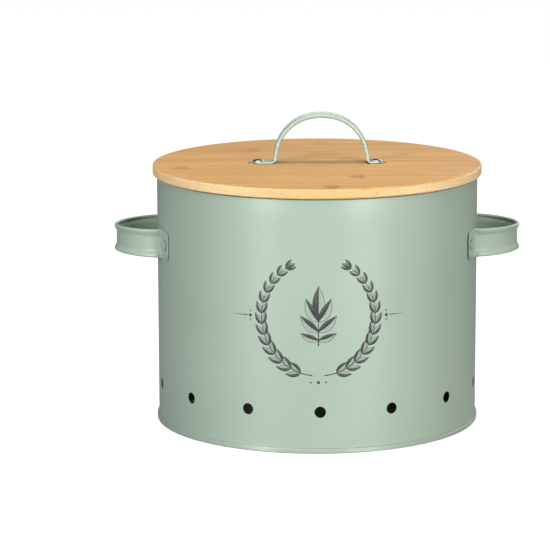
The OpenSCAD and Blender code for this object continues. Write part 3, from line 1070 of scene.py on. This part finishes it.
arch = bmesh.new()
arch.verts.layers.int.new("place_in_row")
left_end = -(arch_low.x - arch_shift)
right_end = arch_high.x - arch_shift
for side, tab_end in ((-1, left_end), (1, right_end)):
    path = arch_path(tab_end)
    foot_start = path_length(path) - (tab_end - foot_middle.x) - foot_r * sweep_angle
    pressed = (foot_start - 4.0 * MM, foot_start + 1.0 * MM, 0.38)
    flattened = (path_length(path) - 7.0 * MM, path_length(path) - 2.5 * MM, 0.0)
    lay_strip(arch, close_beads(path, pressed, flattened), arch_size, Vector((0, 1, 0)))
    if side < 0:
        bmesh.ops.scale(arch, vec=(-1, 1, 1), verts=arch.verts)
bmesh.ops.remove_doubles(arch, verts=arch.verts, dist=TOUCH)
bmesh.ops.translate(arch, vec=(arch_shift, 0, 0), verts=arch.verts)
face_the_hand(arch, Vector((0, 0, crown_z)))
arch_strip = finish_piece(arch, "lid_handle_strip", sage_gloss, "lid", ["lid_handle"])
add_wall(arch_strip, strip_t, 0.12 * MM)

# %% [markdown]
# ## The print on the front
#
# The front carries a print in charcoal ink: here a wreath of leaves round a
# sprig, between two tapered rules, in the manner of an old engraving. All of it
# is pen strokes. A stroke is a line with a width that may swell and taper, and
# a leaf's dark half is simply a stroke as wide as half the leaf. The left edges
# of all strokes are drawn as loose wire, each vertex keeps its way across in a
# layer, and a single extrusion turns every wire into a ribbon. Then the flat
# drawing is rolled onto the drum like the sheet, a hair proud of the paint.

# %% Pens
ink_t = 0.06 * MM
ink_r = drum_r + 0.04 * MM
print_across = -1.2 * MM
print_up = 96.0 * MM
edge_pen = 0.34 * MM
midrib_pen = 0.30 * MM
rib_pen = [0.26 * MM, 0.12 * MM]
point_pen = 0.04 * MM

drawing = bmesh.new()
way_across = drawing.verts.layers.float_vector.new("way_across")


def ways_off(line):
    """At each point of a line, the direction that is square to it."""
    last = len(line) - 1
    return [
        (line[min(index + 1, last)] - line[max(index - 1, 0)]).normalized().orthogonal()
        for index in range(last + 1)
    ]


def stroke(points, width):
    """Draws a pen stroke. The width is one value, or one for each point."""
    widths = width if isinstance(width, list) else [width] * len(points)
    row = []
    for point, way, wide in zip(points, ways_off(points), widths):
        side = way * wide
        vertex = drawing.verts.new((*(point - side / 2), 0))
        vertex[way_across] = (*side, 0)
        row.append(vertex)
    for pair in zip(row, row[1:]):
        drawing.edges.new(pair)


def bent_line(start, angle, length, bend, count):
    """Points along a line that turns by an angle on its way."""
    points = [start.copy()]
    for index in range(count):
        way = angle + bend * (index + 0.5) / count
        points.append(points[-1] + Vector((math.cos(way), math.sin(way))) * length / count)
    return points


def thinning(most, loss, count):
    """Widths for a pen that is lifted slowly along a line."""
    return [most - loss * index / count for index in range(count + 1)]


def leaf(start, angle, length, width, bend, dark_side=1):
    """A leaf with a midrib, a dark half and a lighter half that is hatched."""
    count = 10
    spine = bent_line(start, angle, length, bend, count)
    halves = [width / 2 * math.sin(math.pi * (index / count) ** 0.8) for index in range(count + 1)]
    ways = ways_off(spine)
    dark = [spot + way * half / 2 * dark_side for spot, way, half in zip(spine, ways, halves)]
    stroke(dark, [half * 0.9 + 0.05 * MM for half in halves])
    edge = [spot - way * half * dark_side for spot, way, half in zip(spine, ways, halves)]
    stroke(edge, edge_pen)
    stroke(spine, midrib_pen)
    for index in range(2, count - 1):
        rib = [spine[index], spine[index + 1].lerp(edge[index + 1], 0.8)]
        stroke(rib, rib_pen)


def diamond(middle, size):
    """A diamond is a short stroke that swells in its middle."""
    half = Vector((size / 2, 0))
    stroke([middle - half, middle, middle + half], [point_pen, size, point_pen])


def dot(middle, size):
    """A dot is a stroke as wide as a circle is at each of its points."""
    count = 8
    turns = [math.pi * index / count for index in range(count + 1)]
    points = [middle + Vector((-size / 2 * math.cos(turn), 0)) for turn in turns]
    stroke(points, [point_pen / 2 + size * math.sin(turn) for turn in turns])


print("the ink lies", round((ink_r - drum_r) / MM, 2), "mm proud of the paint")

# %% [markdown]
# The wreath is two stems that rise from below on an ellipse, each with pairs of
# leaves that shrink upwards and a single leaf at its end. The numbers are those
# of the right stem, and the left one is the same turned over. Inside the wreath
# stands a sprig with a large leaf on top and three at each side.

# %% Draw the wreath and the sprig
wreath_w = 40.0 * MM
wreath_h = 41.0 * MM
stem_from = -84
stem_turn = 140
stem_steps = 40
leaves_from = -72
leaves_turn = 128
pairs = 13
last_leaf = 56
first_leaf_l = 11.0 * MM
leaf_loss = 3.6 * MM
leaf_w = 0.40
leaf_lean = 0.62
leaf_bend = 0.35
sprig_foot = -20 * MM
sprig_l = 22 * MM
sprig_steps = 12


def heading_of(way):
    """The angle of a direction in the drawing."""
    return math.atan2(way.y, way.x)


def on_wreath(angle):
    """A point of the wreath's right half, by its angle from the level."""
    return Vector((wreath_w * math.cos(angle), wreath_h * math.sin(angle)))


for side in (-1, 1):
    stem = []
    for index in range(stem_steps + 1):
        point = on_wreath(math.radians(stem_from + stem_turn * index / stem_steps))
        stem.append(Vector((side * point.x, point.y)))
    stroke(stem, thinning(0.75 * MM, 0.45 * MM, stem_steps))
    for pair in range(pairs):
        angle = math.radians(leaves_from + leaves_turn * pair / (pairs - 1))
        start = on_wreath(angle)
        heading = heading_of(on_wreath(angle + 0.01) - start)
        size = first_leaf_l - leaf_loss * pair / (pairs - 1)
        root = Vector((side * start.x, start.y))
        for turn in (-leaf_lean, leaf_lean):
            inner_side = 1 if turn > 0 else -1
            way = heading + turn
            if side < 0:
                way = math.pi - way
            leaf(root, way, size, size * leaf_w, -leaf_bend * inner_side * side, side * inner_side)
    tip = on_wreath(math.radians(last_leaf))
    heading = heading_of(on_wreath(math.radians(last_leaf + 1)) - tip)
    root = Vector((side * tip.x, tip.y))
    leaf(root, heading if side > 0 else math.pi - heading, 7.2 * MM, 2.9 * MM, 0.2 * side, side)

sprig = bent_line(Vector((0, sprig_foot)), math.pi / 2, sprig_l, 0.0, sprig_steps)
stroke(sprig, thinning(1.0 * MM, 0.6 * MM, sprig_steps))
leaf(Vector((0, 1 * MM)), math.pi / 2, 21 * MM, 8.6 * MM, 0.0)
sprig_leaves = ((-3.0 * MM, 48, 18.5 * MM), (-10.0 * MM, 28, 17.0 * MM), (-16.0 * MM, 8, 13.5 * MM))
for side in (-1, 1):
    for height, lean, size in sprig_leaves:
        way = math.radians(lean if side > 0 else 180 - lean)
        leaf(Vector((0, height)), way, size, size * leaf_w, 0.5 * side, side)
print("vertices drawn:", len(drawing.verts))

# %% [markdown]
# A rule points outwards at each side of the wreath, from a diamond between two
# dots. Three more dots close the wreath below, a large one between two small.

# %% Draw the rules, the diamonds and the dots
rule_from = 50.5 * MM
rule_l = 10.5 * MM
rule_steps = 10
diamond_x = 48.2 * MM
diamond_w = 2.8 * MM

for side in (-1, 1):
    rule = []
    for index in range(rule_steps + 1):
        rule.append(Vector((side * (rule_from + rule_l * index / rule_steps), 0)))
    stroke(rule, thinning(0.75 * MM, 0.6 * MM, rule_steps))
    diamond(Vector((side * diamond_x, 0)), diamond_w)
    for row in (-1, 1):
        dot(Vector((side * diamond_x, row * 3.1 * MM)), 1.1 * MM)
for across, size in ((-5.2 * MM, 1.2 * MM), (0.0, 2.2 * MM), (5.2 * MM, 1.2 * MM)):
    dot(Vector((across, -wreath_h - 4.6 * MM)), size)
print("vertices drawn with the rules:", len(drawing.verts))

# %% [markdown]
# One extrusion gives every stroke its width: the new vertices move by the way
# across that each one copied from the vertex it grew from. Rolling puts the ink
# on the drum, and a Solidify modifier lets it reach just into the paint, so it
# never floats.

# %% Ink the strokes and roll them on
grown = bmesh.ops.extrude_edge_only(drawing, edges=drawing.edges[:])
for vertex in new_part(grown, bmesh.types.BMVert):
    vertex.co += vertex[way_across]
for face in drawing.faces:
    face.normal_update()
    if face.normal.z < 0:
        face.normal_flip()
for vertex in drawing.verts:
    vertex.co = rolled(vertex.co.x + print_across, vertex.co.y + print_up, ink_r)
front_print = finish_piece(drawing, "front_print", charcoal_ink, "bin")
film = front_print.modifiers.new("film", "SOLIDIFY")
film.thickness = ink_t
film.offset = -1
